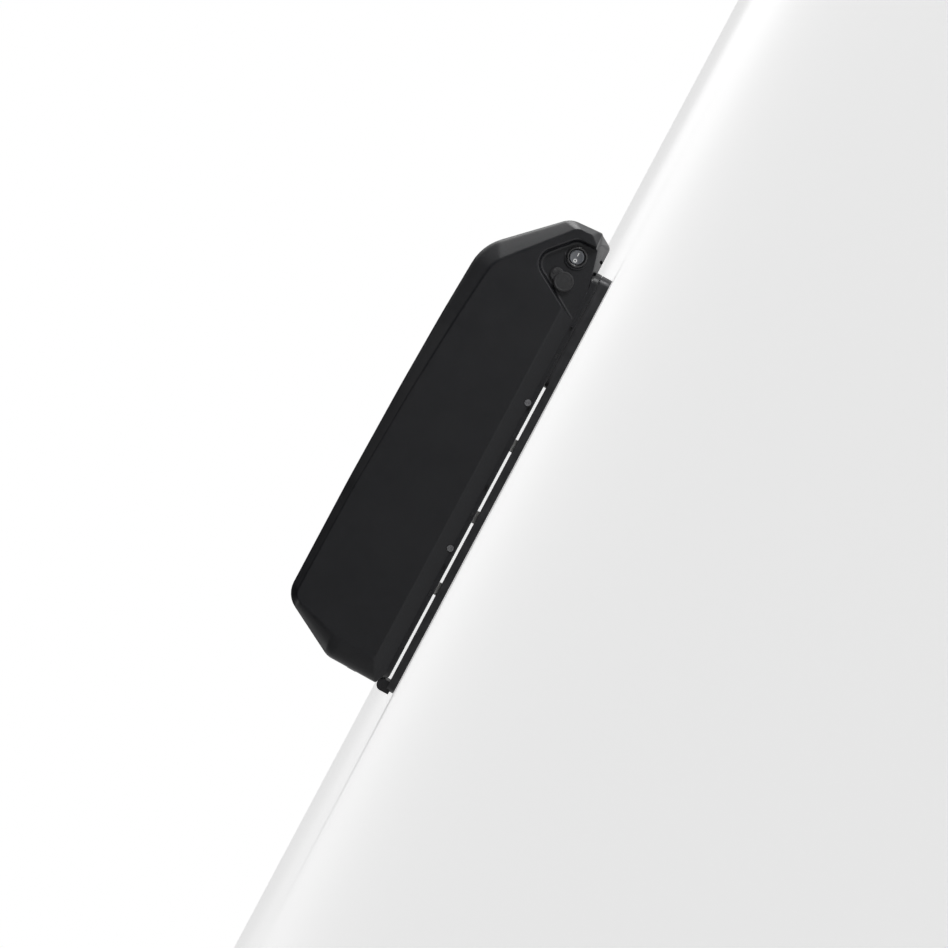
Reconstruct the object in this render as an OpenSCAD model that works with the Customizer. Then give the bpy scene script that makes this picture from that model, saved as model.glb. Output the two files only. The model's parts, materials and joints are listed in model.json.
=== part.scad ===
// Battery pack for an electric bicycle, on the mount that bolts to the frame's down tube.
// +X runs along the tube to the pack's nose, +Z points away from the tube, and the charge
// port and the switch are on the -Y side. The origin is the middle of the mount's bolt
// line, on the face that lies on the tube. Millimetres.

/* [Case] */
// Width of the case across its two side panels
case_w = 90; // [88:0.5:94]
// Height of the case's outer face above the tube
case_top = 103.2; // [102.5:0.1:105]
// Wall thickness of the case
wall = 2.6; // [2.2:0.1:2.8]
// How far the lower chamfer runs in on each side
chamfer_in = 8; // [7:0.5:8]
// Half width at which the upper chamfers end on the outer face
crown_half = 34; // [32:0.5:36]
// Depth of the recess that holds the charge port and the switch
recess_depth = 7.5; // [6.5:0.5:7.5]

/* [Mount] */
// Width of the mount plate
plate_w = 48; // [48:1:56]
// Thickness of the mount plate
plate_h = 6; // [6:0.1:6.2]
// Distance between the inner two bolt holes
bolt_pitch = 64; // [64:0.5:66]
// Distance between the outer two bolt holes
outer_bolt_pitch = 192; // [188:1:194]
// Radius of the bolt holes
bolt_hole_r = 2.75; // [2.6:0.05:3]
// Distance between the hooks
hook_pitch = 60; // [59:0.5:61]
// How far the pack slides to leave the hooks
slide_travel = 16; // [14:0.5:16]

/* [Cells] */
// Radius of a cell
cell_r = 9.1; // [9:0.05:9.15]
// Length of a cell
cell_l = 65; // [64:0.5:66]
// Distance between neighbouring cells
cell_pitch = 19.8; // [19.6:0.1:19.9]
// Cells in series, along the pack
cells_series = 13; // [10:1:13]
// Cells in parallel, from the mount outwards
cells_parallel = 4; // [3:1:4]

/* [Controls] */
// Radius of the charge port's cap
cap_r = 7.5; // [7.3:0.1:7.6]
// Radius of the switch's rocker
rocker_r = 5.65; // [5.5:0.05:5.7]
// Radius of the lock's barrel
lock_r = 7; // [6.5:0.1:7]
// Radius of the charge gauge's button
button_r = 4.5; // [4:0.1:5]
// How far the gauge's button travels
button_travel = 1.2; // [1:0.1:1.4]

/* [Hidden] */

$fn = 48;
cut = 0.5;              // overrun of a cut past a face
gap = 0.3;              // free gap between pieces that move past each other

half_w = case_w / 2;
lip_half = half_w - chamfer_in;     // half width of the case's lower lip
deck = plate_h + 2;                 // top of the raised dock on the plate
base_z = deck + gap;                // underside of the pack
lip_top = base_z + 4;               // where the lower chamfer starts
panel_low = base_z + 15;            // where the lower chamfer meets the side panel
lip_x = [-136, 201];                // ends of the lower lip

hook_x = [-hook_pitch, 0, hook_pitch];
hook_l = 10;
stem_half = 6;
head_half = 11;
head_z = [base_z + 2.8, base_z + 5.7];
floor_t = 2.5;                      // thickness of the base cover's floor

row_rise = cell_pitch * sin(60);
first_cell = [-126.9, 28];
pack_ends = [-137.4, 151.4];         // trimmed ends of the cell block
web = 1.3;                          // holder material outside a cell's bore

block_x = [140, 164];
blade_y = 9;
blade_end = 175.5;
pocket_x = [block_x[0] - slide_travel - 0.6, 165];

recess_floor = -half_w + recess_depth;      // y of the recess floor
port = [183, 31.6];                 // x and z of the charge port
switch_at = [203.6, 31.3];          // x and z of the switch
swing_deg = 18;                     // the rocker's whole swing
pivot_y = recess_floor + 0.6;
rocker_face = 2.6;                  // from the rocker's axis to its face

bolt_x = 192;
bolt_y = 15;
striker_x = 180;                    // where the striker block meets the plate
bolt_half = 3.2;                    // half width of the lock bolt's square shank
lock_z = 38;
crank_r = 5;                        // the lock's crank pin, from the barrel's axis
crank_rest = crank_r * sin(45);     // the pin's height above the axis at rest
crank_pin_r = 1.5;
ear_x = [179, 205];                 // the lock's fixing screws

lens_at = [146, 46];                // x and z of the gauge's lens
button_at = [172, 46];              // x and z of the gauge's button

// ---- helpers ----

function arc(c, r, a0, a1, n) = [for (i = [0:n]) c + r * [cos(a0 + (a1 - a0) * i / n), sin(a0 + (a1 - a0)
    * i / n)]];
function crown(apex, r, xs) = [for (x = xs) [x, apex[1] - pow(x - apex[0], 2) / (2 * r)]];

// A plate in the XZ plane, from y0 to y1.
module side_plate(y0, y1) {
    translate([0, y1, 0]) rotate([90, 0, 0]) linear_extrude(y1 - y0) children();
}

// A round bar along Y at [x, z], from y0 to y1.
module bar_y(at, r, y0, y1) {
    translate([at[0], y1, at[1]]) rotate([90, 0, 0]) cylinder(r = r, h = y1 - y0);
}

// A box from its lowest corner to its highest.
module span(a, b) {
    translate(a) cube(b - a);
}

// A rounded rectangle of length l and width w about the origin.
module pill(l, w, r) {
    square([l - 2 * r, w], center = true);
    square([l, w - 2 * r], center = true);
    for (x = [-1, 1], y = [-1, 1]) translate([x * (l / 2 - r), y * (w / 2 - r)]) circle(r);
}

// A countersunk screw that points down -Z, with its head's top at the origin.
module countersunk(r, l) {
    cylinder(r = r, h = l - 0.01);
    rotate_extrude() polygon([[0, l - r], [r, l - r], [2 * r, l], [0, l]]);
}

// A round wire of radius r swept along a list of points, with its rings square to the bends.
module wire(points, r, sides = 10) {
    n = len(points);
    rings = [for (i = [0:n - 1])
        let (ahead = points[min(i + 1, n - 1)] - points[max(i - 1, 0)],
            t = ahead / norm(ahead),
            side = cross(t, abs(t[1]) < 0.9 ? [0, 1, 0] : [1, 0, 0]),
            u = side / norm(side),
            v = cross(t, u))
        for (k = [0:sides - 1]) points[i] + r * (u * cos(k * 360 / sides) + v * sin(k * 360 / sides))];
    walls = [for (i = [0:n - 2], k = [0:sides - 1])
        let (a = i * sides + k, b = i * sides + (k + 1) % sides)
            each [[a, b, b + sides], [a, b + sides, a + sides]]];
    ends = [[for (k = [sides - 1:-1:0]) k], [for (k = [0:sides - 1]) (n - 1) * sides + k]];
    polyhedron(points = rings, faces = concat(walls, ends));
}

// The lock bolt's square shank of length l, made larger all round by free for what it slides in.
module shank(free, l) {
    linear_extrude(l) square(2 * (bolt_half + free), center = true);
}

// ---- the case's shape ----

// Side panel and outermost outline, in x and z, with matching points.
panel_end = concat([[-127, panel_low], [-126, 55]], arc([-106.3, 88.7], 9, 163, 92, 5));
outer_end = concat([[-141.5, 15.1], [-140.8, 55.8]], arc([-104.1, case_top - 18.2], 18, 151.6, 91, 5));
panel_top = concat(crown([-100, 97.8], 2700, [-20, 60, 120]), arc([161.4, 63], 22, 84.5, 48, 5),
    arc([216.8, 37], 6, 48, 5, 3), [[223, 28.8], [217, 22]]);
outer_top = concat(crown([-60, case_top], 5000, [-20, 60, 120]), arc([162.4, 60.6], 37.4, 86, 44, 5),
    arc([210.9, 41.5], 16, 44, 3, 3), [[228, 26], [228.2, 22.8]]);

// The case's outline at a level of its chamfer, 0 at the panel and 1 outermost. The lower
// end follows a quarter of an ellipse, and the rest a straight chamfer.
function case_outline(u) = concat(
    [for (i = [0:len(panel_end) - 1]) panel_end[i] + (outer_end[i] - panel_end[i]) * sqrt(1 - pow(1 - u, 2))],
    [for (i = [0:len(panel_top) - 1]) panel_top[i] + (outer_top[i] - panel_top[i]) * u]);

// The case's solid shape, made smaller by inset for the room inside it.
module case_shape(inset) {
    hull() {
        for (u = [0, 0.2, 0.55, 1]) {
            half = half_w + (crown_half - half_w) * u - inset;
            side_plate(-half, half) offset(delta = -inset) polygon(case_outline(u));
        }
        side_plate(-lip_half + inset, lip_half - inset)
            polygon([[-134 + inset, lip_top + inset], [186, lip_top + inset], [186, lip_top + inset + 1]]);
        side_plate(-16 + inset, 16 - inset)
            polygon([[222.2 - inset, lip_top + 0.1 + inset], [215, lip_top + inset], [215, 16]]);
    }
}

// The lip under the case, in plan, made smaller by inset.
module lip_plan(inset) {
    l = lip_x[1] - lip_x[0] - 2 * inset;
    translate([(lip_x[0] + lip_x[1]) / 2, 0]) pill(l, 2 * (lip_half - inset), 9 - inset);
}

// The recess's outline on the side panel, made smaller by inset towards its floor.
module recess_outline(inset) {
    low = lip_top - 4;
    polygon(concat([[156 + 1.1 * inset, low]], arc([191.3, 43.6], 12.2 - inset, 150, 45, 6),
        arc([205, 32], 11.8 - inset, 40, 5, 3), [[216.8 - inset, low]]));
}

// ---- mount on the frame ----

// The plate and the striker block at its nose end, before they are parted.
module mount_base() {
    difference() {
        union() {
            translate([29, 0, 0]) linear_extrude(plate_h) pill(345, plate_w, 7);
            translate([155.5, 0, 0]) linear_extrude(deck) pill(92, plate_w, 7);
            bar_y([-141.2, 9.8], 4.5, -20, 20);
            span([-145.7, -20, 3], [-136.8, 20, 9.8]);
        }
        for (x = [-outer_bolt_pitch, -bolt_pitch, bolt_pitch, outer_bolt_pitch] / 2) translate([x, 0, 0]) {
            translate([0, 0, -cut]) cylinder(r = bolt_hole_r, h = plate_h + 1);
            translate([0, 0, plate_h - 3]) cylinder(r = 5, h = 3 + cut);
        }
        for (x = hook_x) {
            span([x - hook_l / 2 - 0.1, -stem_half - 0.1, -cut], [x + hook_l / 2 + 0.1, stem_half + 0.1,
                plate_h + cut]);
            span([x - 8.1, -17.1, -cut], [x + 8.1, 17.1, 2.6]);
            for (y = [-12, 12]) translate([x, y, 2]) cylinder(r = 1.25, h = plate_h - 1.5);
        }
        span([block_x[0] + 2, -12, -cut], [block_x[1] - 2, 12, deck + cut]);
        span([block_x[0] - 2, -21, plate_h], [block_x[1] + 2, 21, deck + cut]);
        for (y = [-17, 17]) translate([152, y, 1]) cylinder(r = 1.25, h = plate_h);
        // lightening slots along the plate
        for (x = [-78, -18, 42], y = [-16, 16]) translate([x, y, plate_h - 2]) linear_extrude(2 + cut)
            pill(24, 5, 2.4);
    }
}

module beyond_striker() {
    span([striker_x, -plate_w, -cut], [striker_x + 40, plate_w, deck + cut]);
}

module mount_plate() {
    color([0.13, 0.13, 0.14]) difference() {
        mount_base();
        beyond_striker();
    }
}

module striker_block() {
    color([0.13, 0.13, 0.14]) difference() {
        intersection() {
            mount_base();
            beyond_striker();
        }
        translate([bolt_x, bolt_y, 1]) cylinder(r = 6.05, h = deck);
    }
}

module mount_hooks() {
    color([0.62, 0.63, 0.65]) for (x = hook_x) difference() {
        union() {
            span([x - 8, -17, 0.1], [x + 8, 17, 2.5]);
            span([x - hook_l / 2, -stem_half, 2], [x + hook_l / 2, stem_half, head_z[0] + 0.5]);
            span([x - hook_l / 2, -head_half, head_z[0]], [x + hook_l / 2, head_half, head_z[1]]);
        }
        for (y = [-12, 12]) translate([x, y, 0]) {
            cylinder(r = 1.6, h = 3);
            cylinder(r = 3.1, h = 1.6);
        }
    }
}

module hook_screws() {
    color([0.72, 0.72, 0.74]) for (x = hook_x, y = [-12, 12]) translate([x, y, 0.2]) {
        cylinder(r = 2.9, h = 1.3);
        cylinder(r = 1.2, h = 5);
    }
}

module striker_bush() {
    color([0.68, 0.68, 0.7]) translate([bolt_x, bolt_y, 1]) difference() {
        cylinder(r = 6, h = deck - 1);
        translate([0, 0, 1]) shank(gap, deck);
    }
}

module terminal_block() {
    color([0.09, 0.09, 0.1]) difference() {
        union() {
            span([block_x[0], -13.5, plate_h], [block_x[1], 13.5, 20]);
            span([block_x[0] - 1.9, -20.9, plate_h], [block_x[1] + 1.9, 20.9, deck]);
        }
        for (y = [-blade_y, blade_y]) {
            span([150, y - 0.65, plate_h - cut], [block_x[1] + cut, y + 0.65, 18.5]);
            span([block_x[1] - 4, y - 2, plate_h + 4], [block_x[1] + cut, y + 2, 19]);
        }
        for (y = [-3, 0, 3]) translate([150, y, 15]) rotate([0, 90, 0]) cylinder(r = 0.8, h = 20);
        for (y = [-17, 17]) translate([152, y, plate_h - cut]) {
            cylinder(r = 1.6, h = 3);
            translate([0, 0, 1.2]) cylinder(r = 3, h = 3);
        }
        span([block_x[0] + 4, -6, plate_h - cut], [block_x[1] - 6, 6, 13]);
    }
}

module terminal_blades() {
    color([0.78, 0.6, 0.28]) {
        for (y = [-blade_y, blade_y]) {
            span([151, y - 0.6, 11.5], [blade_end, y + 0.6, 18.3]);
            span([151, y - 0.6, 1], [157, y + 0.6, 12]);
        }
        for (y = [-3, 0, 3]) translate([150.2, y, 15]) rotate([0, 90, 0]) cylinder(r = 0.75, h = 21);
    }
}

module block_screws() {
    color([0.72, 0.72, 0.74]) for (y = [-17, 17]) translate([152, y, 1.4]) {
        cylinder(r = 1.2, h = 6);
        translate([0, 0, plate_h - 0.1]) cylinder(r = 2.8, h = 0.5);
    }
}

// ---- case ----

tab_x = [-64.5, 1.5, 67, 132.5];        // snap tabs of the base cover, in the lip
drain_x = [-43.5, 22, 88, 154.5];       // drain slots in the lip
screw_x = [-28.5, 92.5];
screw_z = base_z + 4.7;

module upper_case() {
    color([0.07, 0.07, 0.08]) difference() {
        union() {
            difference() {
                union() {
                    case_shape(0);
                    translate([0, 0, base_z]) linear_extrude(lip_top - base_z + 0.5) lip_plan(0);
                    span([-142.2, -24, 32], [-139, 24, 39]);
                }
                case_shape(wall);
                translate([0, 0, base_z - cut]) linear_extrude(lip_top - base_z + 5.5) lip_plan(wall);
            }
            intersection() {
                case_shape(0);
                hull() {
                    side_plate(-half_w - 1, -half_w) recess_outline(-wall);
                    side_plate(recess_floor, recess_floor + wall) recess_outline(2 - wall);
                }
            }
            for (x = ear_x) bar_y([x, lock_z], 3.2, 36, half_w - 1);
            for (at = [lens_at, button_at]) bar_y(at, 8.4, half_w - wall - 2, half_w - 1);
        }
        hull() {
            side_plate(-half_w - 1, -half_w) recess_outline(0);
            side_plate(recess_floor - 0.01, recess_floor) recess_outline(2);
        }
        // port, switch and the cap's post
        bar_y(port, 5.6, -half_w, recess_floor + wall + cut);
        bar_y(switch_at, 6.95, -half_w, recess_floor + wall + cut);
        bar_y(post_at, 1.8, -half_w, recess_floor + wall + cut);
        // lock barrel and its screws, gauge lens and button
        bar_y([bolt_x, lock_z], lock_r + 0.6, half_w - wall - 2, half_w + cut);
        for (x = ear_x) bar_y([x, lock_z], 1.25, 35, half_w - wall);
        translate([lens_at[0], half_w + cut, lens_at[1]]) rotate([90, 0, 0]) linear_extrude(3 + cut)
            pill(36.4, 10.4, 4);
        translate([lens_at[0], half_w + cut, lens_at[1]]) rotate([90, 0, 0]) linear_extrude(6) pill(30, 5, 2);
        bar_y(button_at, button_r + gap, half_w - 7, half_w + cut);
        // side screws, snap tabs and drain slots
        for (x = screw_x, s = [-1, 1]) {
            bar_y([x, screw_z], 1.6, s * 36 - 5, s * 36 + 5);
            bar_y([x, screw_z], 2.9, s > 0 ? lip_half - 0.8 : -half_w, s > 0 ? half_w : -lip_half + 0.8);
        }
        for (x = tab_x, s = [-1, 1]) translate([x, s * lip_half, base_z + 2.2])
            cube([3.4, 8, 1.8], center = true);
        for (x = drain_x, s = [-1, 1]) translate([x, s * lip_half, base_z + 2.4])
            cube([5, 8, 1.6], center = true);
        bar_y([209.5, 13.8], 1.3, -half_w, -14);
        bar_y([209.5, 13.8], 1.3, 14, half_w);
    }
}

module base_cover() {
    rim = wall + gap;
    color([0.09, 0.09, 0.1]) difference() {
        union() {
            difference() {
                translate([0, 0, base_z]) linear_extrude(7.2) lip_plan(rim);
                translate([0, 0, base_z + floor_t]) linear_extrude(8) lip_plan(rim + 2);
            }
            for (x = screw_x, s = [-1, 1])
                span([x - 4, s > 0 ? 26 : -32.5, base_z + 1], [x + 4, s > 0 ? 32.5 : -26, base_z + 7]);
            for (x = hook_x) span([x - 7 - slide_travel, -head_half - 1.9, base_z], [x + 6.9,
                head_half + 1.9, base_z + 7.5]);
            span([pocket_x[0] - 1.5, -16.5, base_z], [pocket_x[1] + 1.5, 16.5, 22.5]);
            for (x = tab_x, s = [-1, 1]) translate([x, s * (lip_half - 2), base_z + 2.2])
                cube([3, 3.4, 1.4], center = true);
        }
        for (x = hook_x) {
            window = x - hook_l / 2 - slide_travel - 0.6;
            span([window, -stem_half - gap, base_z - cut], [x + 5.4, stem_half + gap, base_z + 4]);
            span([window, -head_half - 0.4, base_z - cut], [window + hook_l + 1.2, head_half + 0.4,
                base_z + 4]);
            span([window, -head_half - 0.4, base_z + floor_t], [x + 5.4, head_half + 0.4, base_z + 6.1]);
        }
        span([pocket_x[0], -15, base_z - cut], [pocket_x[1], 15, 21]);
        span([pocket_x[1] - cut, -13.2, base_z + floor_t], [pocket_x[1] + 2, 13.2, 19.7]);
        translate([bolt_x, bolt_y, base_z - cut]) shank(gap, 4);
        for (x = screw_x, s = [-1, 1]) bar_y([x, screw_z], 1.25, s * 31 - 4, s * 31 + 4);
    }
}

module base_gasket() {
    color([0.12, 0.12, 0.12]) translate([0, 0, base_z + 7.3]) linear_extrude(1) difference() {
        lip_plan(wall + gap);
        lip_plan(wall + gap + 1.4);
    }
}

module case_screws() {
    color([0.78, 0.78, 0.8]) for (x = screw_x, s = [-1, 1]) {
        shank = [28.5, lip_half - 0.9];
        head = [lip_half - 0.75, lip_half + 0.9];
        difference() {
            union() {
                bar_y([x, screw_z], 1.2, s > 0 ? shank[0] : -head[0] - cut,
                    s > 0 ? head[0] + cut : -shank[0]);
                bar_y([x, screw_z], 2.5, s > 0 ? head[0] : -head[1], s > 0 ? head[1] : -head[0]);
            }
            translate([x, s * (lip_half + 1), screw_z]) rotate([90, 0, 0])
                cylinder(r = 1.1, h = 2, center = true, $fn = 6);
        }
    }
}

// ---- cells ----

function cell_at(i, j) = first_cell + [cell_pitch * (i + j / 2), row_rise * j];

// The outline round all cells, a slanted block like the cell rows.
module holder_outline(grow) {
    n = cells_series - 1;
    m = cells_parallel - 1;
    side = grow / sin(60);
    lean = (row_rise * m + 2 * grow) / tan(60);
    low = cell_at(0, 0) - [side - grow / tan(60) + grow / 2, grow];
    right = cell_at(n, 0) - cell_at(0, 0) + [2 * side, 0];
    intersection() {
        polygon([low, low + right, low + right + [lean, row_rise * m + 2 * grow], low + [lean,
            row_rise * m + 2 * grow]]);
        translate([pack_ends[0], 0]) square([pack_ends[1] - pack_ends[0], case_top]);
    }
}

module cell_holder(y0, y1) {
    difference() {
        side_plate(y0, y1) holder_outline(cell_r + web);
        for (i = [0:cells_series - 1], j = [0:cells_parallel - 1])
            bar_y(cell_at(i, j), cell_r + 0.05, y0 - 1, y1 + 1);
    }
}

module cell_holder_near() {
    color([0.1, 0.1, 0.1]) cell_holder(-cell_l / 2, -cell_l / 2 + 6);
}

module cell_holder_far() {
    color([0.1, 0.1, 0.1]) cell_holder(cell_l / 2 - 6, cell_l / 2);
}

// A cell's sleeve is rolled in at both ends and its cap stands in a shallow ring.
module cell() {
    h = cell_l / 2;
    rotate([90, 0, 0]) rotate_extrude()
        polygon([[0, -h], [cell_r - 0.4, -h], [cell_r, -h + 0.4], [cell_r, h - 0.4],
        [cell_r - 0.4, h], [5.5, h], [5.5, h - 0.7], [3.4, h - 0.7], [3.4, h], [0, h]]);
}

module cells() {
    color([0.15, 0.5, 0.42]) for (i = [0:cells_series - 1], j = [0:cells_parallel - 1])
        translate([cell_at(i, j)[0], 0, cell_at(i, j)[1]]) rotate([0, 0, i % 2 * 180]) cell();
}

// Nickel sheets, each over the columns from the first to the last.
module nickel_sheet(first, last, y0) {
    m = cells_parallel - 1;
    reach = cell_r - 1;
    a = cell_at(first, 0);
    b = cell_at(last, 0);
    c = cell_at(last, m);
    d = cell_at(first, m);
    side_plate(y0, y0 + 0.25) polygon([a + [-reach, -3], b + [reach, -3], c + [reach, 3], d + [-reach, 3]]);
}

module nickel_strips_near() {
    color([0.75, 0.75, 0.74]) for (i = [0:2:cells_series - 1])
        nickel_sheet(i, min(i + 1, cells_series - 1), -cell_l / 2 - 0.25);
}

module nickel_strips_far() {
    color([0.75, 0.75, 0.74]) for (i = [-1:2:cells_series - 1])
        nickel_sheet(max(i, 0), min(i + 1, cells_series - 1), cell_l / 2);
}

module insulation_sheets() {
    color([0.75, 0.72, 0.62]) for (y = [-cell_l / 2 - 0.9, cell_l / 2 + 0.4])
        side_plate(y, y + 0.5) holder_outline(cell_r + 0.5);
}

module side_foam() {
    far = cell_l / 2 + 1;
    color([0.2, 0.2, 0.2]) for (y = [-half_w + wall + gap, far])
        span([-106, y, 28], [112, y + half_w - wall - gap - far, 78]);
}

module top_foam() {
    color([0.2, 0.2, 0.2]) span([-92, -30, 95.5], [124, 30, 96.6]);
}

// ---- electronics ----

bms_x = 153;

module bms_board() {
    color([0.05, 0.3, 0.16]) difference() {
        span([bms_x, -33, 26], [bms_x + 1.6, 33, 88]);
        for (y = [-29, 29], z = [30, 84]) translate([bms_x - 1, y, z]) rotate([0, 90, 0])
            cylinder(r = 1.6, h = 4);
    }
}

module bms_components() {
    face = bms_x + 1.6;
    color([0.12, 0.12, 0.13]) {
        for (i = [0:7]) span([face, -30 + 7.6 * i, 64], [face + 3.4, -30 + 7.6 * i + 6.2, 76]);
        for (y = [-24, -12]) translate([face, y, 52]) rotate([0, 90, 0]) cylinder(r = 4, h = 9);
        span([face, 2, 44], [face + 1.2, 12, 54]);
        span([face, 16, 40], [face + 5.5, 31, 46]);
        span([face, -14, 30], [face + 2, 14, 36]);
        span([bms_x - 1.8, -10, 84], [bms_x, 10, 87.6]);
    }
}

module bms_heat_sink() {
    face = bms_x + 5.1;
    color([0.7, 0.7, 0.72]) {
        span([face, -31, 64], [face + 2, 31, 77]);
        for (i = [0:3]) span([face + 1, -31, 64 + 3.75 * i], [face + 4, 31, 65 + 3.75 * i]);
    }
}

module balance_harness() {
    low = 90.5;
    color([0.3, 0.3, 0.32]) {
        span([-110, -8, low], [bms_x - 2.4, 8, low + 0.8]);
        span([bms_x - 3.3, -8, 84.4], [bms_x - 2.4, 8, low + 0.8]);
        span([bms_x - 3.3, -8, 84.4], [bms_x - 1.8, 8, 87.2]);
        for (i = [0:cells_series - 1]) span([-95 + 19 * i, -30, low], [-94 + 19 * i, -8, low + 0.8]);
    }
}

module lead_negative() {
    color([0.05, 0.05, 0.05])
        wire([[-92, -14, 93.4], [142, -14, 93.4], [150, -14, 93], [155, -14, 91], [156.6, -14, 88],
            [156.6, -14, 82]], 1.9);
}

module lead_positive() {
    color([0.7, 0.05, 0.04]) {
        wire([[124, 14, 93.4], [144, 14, 93.4], [154, 14, 92.4], [160, 14, 88], [162, 14, 82], [163.5, 14,
            79],
            [166.9, 14, 78]], 1.9);
        wire([[176, 14, 65.9], [176, 14, 58], [179, 6, 46], [180, -4, 34], [180, -6, 28], [180, -6,
            22.5]], 1.9);
    }
}

module fuse_holder() {
    color([0.1, 0.1, 0.11]) difference() {
        span([167.4, 7, 66], [183, 21, 82]);
        span([169.4, 9, 70], [181, 19, 82 + cut]);
    }
}

module fuse() {
    color([0.8, 0.45, 0.1]) span([170, 11, 70.2], [180.4, 17, 84]);
}

module discharge_receptacle() {
    color([0.08, 0.08, 0.09]) difference() {
        union() {
            span([pocket_x[1] + 1.7, -16, base_z + 2.8], [182, 16, 22.4]);
            span([pocket_x[1] + 0.2, -12.9, base_z + 2.8], [pocket_x[1] + 2, 12.9, 19.4]);
        }
        for (y = [-blade_y, blade_y]) span([165, y - 1.5, base_z + 2.9], [178, y + 1.5, 18.8]);
        for (y = [-3, 0, 3]) translate([165, y, 15]) rotate([0, 90, 0]) cylinder(r = 1.4, h = 12);
    }
}

module receptacle_contacts() {
    color([0.78, 0.6, 0.28]) {
        for (y = [-blade_y, blade_y], s = [-1, 1])
            translate([172, y + s * 1.1, 15]) cube([11.6, 0.6, 6], center = true);
        for (y = [-3, 0, 3]) translate([166, y, 15]) rotate([0, 90, 0]) difference() {
            cylinder(r = 1.35, h = 10.9);
            translate([0, 0, -1]) cylinder(r = 0.9, h = 11);
        }
    }
}

// ---- charge port ----

flange_r = 5.8;
flange_t = 1.4;

module charge_socket() {
    color([0.1, 0.1, 0.11]) difference() {
        union() {
            bar_y(port, flange_r, recess_floor - flange_t, recess_floor);
            bar_y(port, 5.5, recess_floor - 0.2, recess_floor + 11);
            bar_y(port, 4.2, recess_floor + 10, recess_floor + 19);
        }
        bar_y(port, 2.9, recess_floor - 2, recess_floor + 9);
        bar_y(port, 1.05, recess_floor, recess_floor + 17);
    }
}

module charge_pin() {
    color([0.75, 0.75, 0.76]) bar_y(port, 1, recess_floor + 0.6, recess_floor + 16);
}

module charge_nut() {
    color([0.7, 0.7, 0.72]) difference() {
        translate([port[0], recess_floor + wall + 0.1, port[1]]) rotate([-90, 0, 0])
            cylinder(r = 8, h = 2.4, $fn = 6);
        bar_y(port, 5.55, recess_floor, recess_floor + 8);
    }
}

// The cap's strap runs from the port to a lobe that is fixed above it. The cap hinges where
// the strap leaves it.
strap_dir = [0.35, 0.937];
hinge_dist = 9;
strap_t = 2;
strap_y = recess_floor - 0.4;           // underside of the strap
lobe_at = port + 7.15 * strap_dir;
lobe_r = 5.3;
post_at = port + 10.4 * strap_dir;
hinge_at = port + hinge_dist * strap_dir;

// The half of the strap's plane beyond a distance from the port.
module beyond(d) {
    translate(port) rotate(atan2(strap_dir[1], strap_dir[0])) translate([d, -20]) square(40);
}

module cap_anchor() {
    color([0.05, 0.05, 0.05]) {
        side_plate(strap_y - strap_t, recess_floor - 0.05) intersection() {
            translate(lobe_at) circle(lobe_r);
            beyond(hinge_dist + gap);
        }
        bar_y(post_at, 1.7, strap_y - 1, recess_floor + 3.6);
    }
}

module charge_cap() {
    color([0.05, 0.05, 0.05]) {
        difference() {
            bar_y(port, cap_r, recess_floor - 3.8, strap_y - 0.1);
            bar_y(port, 6.6, recess_floor - 2.1, recess_floor);
        }
        side_plate(strap_y - strap_t, strap_y - 0.1) difference() {
            translate(lobe_at) circle(lobe_r);
            beyond(hinge_dist - gap);
            translate(port) circle(cap_r - 0.4);
        }
    }
}

// ---- switch ----

module switch_housing() {
    color([0.04, 0.04, 0.04]) difference() {
        union() {
            bar_y(switch_at, 7.8, recess_floor - 1.8, recess_floor);
            bar_y(switch_at, 6.85, recess_floor - 0.5, recess_floor + 15);
        }
        bar_y(switch_at, rocker_r + 0.15, recess_floor - 3, recess_floor + 7);
        translate([switch_at[0], pivot_y, switch_at[1] - 6.55]) cylinder(r = 0.86, h = 13.1);
        for (x = [-3, 3]) translate([switch_at[0] + x, recess_floor + 12, switch_at[1]])
            cube([1.1, 20, 4.1], center = true);
    }
    // raised collar moulded round the switch, on the port's side
    color([0.07, 0.07, 0.08]) side_plate(recess_floor - 1.4, recess_floor - 0.05) difference() {
        translate(switch_at) circle(9.8);
        translate(switch_at) circle(8.1);
        translate(switch_at + [12, -7]) circle(14);
    }
}

module switch_terminals() {
    color([0.78, 0.6, 0.28]) for (x = [-3, 3])
        translate([switch_at[0] + x, recess_floor + 15, switch_at[1]]) cube([0.9, 13, 4], center = true);
}

module rocker() {
    color([0.45, 0.46, 0.47]) translate([switch_at[0], pivot_y, switch_at[1]]) {
        rotate([0, 0, -swing_deg / 2]) intersection() {
            sphere(r = rocker_r);
            translate([-8, -rocker_face, -8]) cube([16, 2 * rocker_face, 16]);
        }
        for (s = [-1, 1]) translate([0, 0, s * 5.7]) cylinder(r = 0.8, h = 1.5, center = true);
    }
}

// ---- lock ----

module lock_housing() {
    color([0.55, 0.56, 0.58]) difference() {
        union() {
            span([bolt_x - 7, bolt_y - 7, 17.4], [bolt_x + 7, 30, 20.8]);
            span([bolt_x - 9.5, bolt_y + 5.4, 17.4], [bolt_x + 9.5, 31, 50]);
            span([bolt_x - 9.5, 30, 28], [bolt_x + 9.5, half_w - wall - 1, 50]);
            for (x = ear_x) hull() {
                bar_y([x, lock_z], 4.5, 32, 35.9);
                translate([bolt_x, 34, lock_z]) cube([10, 3.8, 16], center = true);
            }
        }
        translate([bolt_x, bolt_y, base_z]) shank(0.08, 20);
        bar_y([bolt_x, lock_z], lock_r + 0.06, 25, half_w);
        bar_y([bolt_x, lock_z], crank_r + crank_pin_r + 0.5, bolt_y, 30);
        for (x = ear_x) bar_y([x, lock_z], 1.6, 30, 40);
    }
}

module lock_screws() {
    color([0.72, 0.72, 0.74]) for (x = ear_x) {
        bar_y([x, lock_z], 1.2, 31.5, 41);
        bar_y([x, lock_z], 2.7, 30.1, 31.9);
    }
}

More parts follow.
